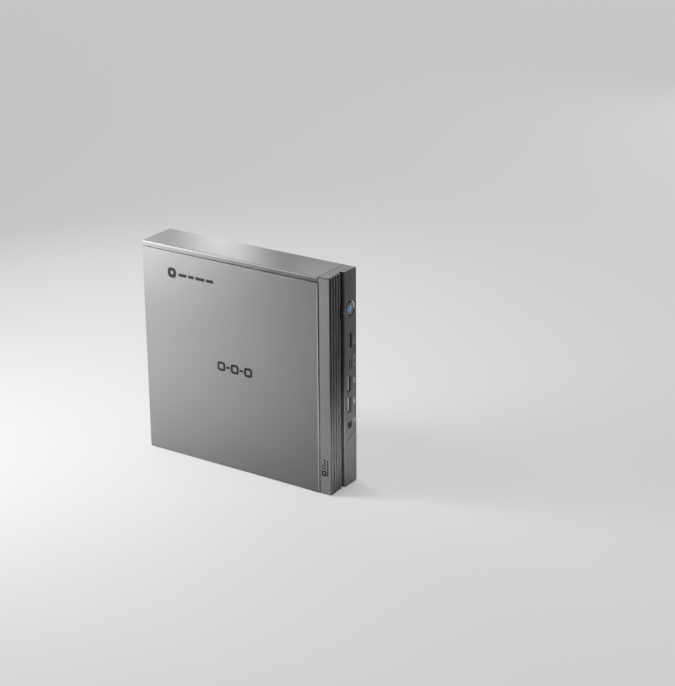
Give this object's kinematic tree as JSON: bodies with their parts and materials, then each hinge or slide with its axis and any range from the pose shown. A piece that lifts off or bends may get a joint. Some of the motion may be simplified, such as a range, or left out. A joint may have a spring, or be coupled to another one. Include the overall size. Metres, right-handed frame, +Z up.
{
  "type": "mini pc",
  "caption": "Flat square mini computer in satin grey with a large side cover, a ribbed front bezel with a round power button and a column of sockets.",
  "frame": {"origin": "centre of the underside of the box, as it stands on its narrow side", "axes": "+Z up, +X towards the narrow side with the power button, -Y towards the large side cover, +Y towards the bracket side with the feet"},
  "size_m": [0.178, 0.0386, 0.178],
  "materials": {
    "cover_paint": "satin metallic grey paint with a very fine grain",
    "sleeve_paint": "satin metallic grey paint",
    "bezel_plastic": "fine matt mould texture, grey",
    "dark_plastic": "matt black",
    "button_plastic": "satin dark grey",
    "button_ring": "satin dark metallic trim",
    "icon_lens": "translucent blue light guide",
    "screen_mesh": "fine woven dust screen",
    "steel": "plated sheet steel",
    "socket_tongue": "moulded contact carrier, light grey",
    "rubber": "matt black rubber",
    "brass": "turned brass",
    "circuit_board": "solder-masked glass laminate",
    "chip_black": "moulded epoxy",
    "copper": "drawn copper",
    "aluminium": "stamped aluminium"
  },
  "bodies": {
    "casing": {"aerial_1": "copper", "aerial_2": "copper", "bezel_corner_insert": "bezel_plastic", "blower_housing": "dark_plastic", "button_board": "circuit_board", "coin_cell": "steel", "coin_cell_holder": "chip_black", "cold_plate": "copper", "cover_screw_1": "steel", "cover_screw_2": "steel", "dc_inlet": "dark_plastic", "fin_block": "aluminium", "front_bezel": "bezel_plastic", "hdmi_port_1": "steel", "hdmi_port_2": "steel", "headset_jack": "dark_plastic", "heat_pipe": "copper", "housing_sleeve": "sleeve_paint", "lan_jack": "steel", "lock_slot_frame": "steel", "memory_module_1": "circuit_board", "memory_module_2": "circuit_board", "memory_socket_1": "chip_black", "memory_socket_2": "chip_black", "microsd_slot": "steel", "motherboard": "circuit_board", "mount_insert_1": "brass", "mount_insert_2": "brass", "mount_insert_3": "brass", "mount_insert_4": "brass", "power_button_ring": "button_ring", "power_switch": "chip_black", "processor": "chip_black", "rear_plate": "dark_plastic", "recovery_switch": "chip_black", "rubber_foot_1": "rubber", "rubber_foot_2": "rubber", "rubber_foot_3": "rubber", "rubber_foot_4": "rubber", "side_cover": "cover_paint", "solid_state_drive": "circuit_board", "speaker": "dark_plastic", "ssd_screw": "steel", "usb_a_front_1": "steel", "usb_a_front_1_tongue": "socket_tongue", "usb_a_front_2": "steel", "usb_a_front_2_tongue": "socket_tongue", "usb_a_rear_1": "steel", "usb_a_rear_2": "steel", "usb_c_front": "steel", "usb_c_rear": "steel", "vent_screen": "screen_mesh", "wireless_card": "circuit_board"},
    "power_button": {"power_button_cap": "button_plastic", "power_button_light_guide": "icon_lens"},
    "fan": {"blower_impeller": "dark_plastic"},
    "recovery_plunger": {"recovery_button": "button_plastic"}
  },
  "joints": [
    {"name": "power_button_press", "type": "slide", "parent": "casing", "child": "power_button", "axis": [-1, 0, 0], "range_m": [0, 0.0007], "stiffness_N_per_m": 1500},
    {"name": "fan_spin", "type": "hinge", "parent": "casing", "child": "fan", "pos_m": [-0.028, -0.006, 0.136], "axis": [0, -1, 0], "continuous": true},
    {"name": "recovery_button_press", "type": "slide", "parent": "casing", "child": "recovery_plunger", "axis": [1, 0, 0], "range_m": [0, 0.0005], "stiffness_N_per_m": 1500}
  ]
}
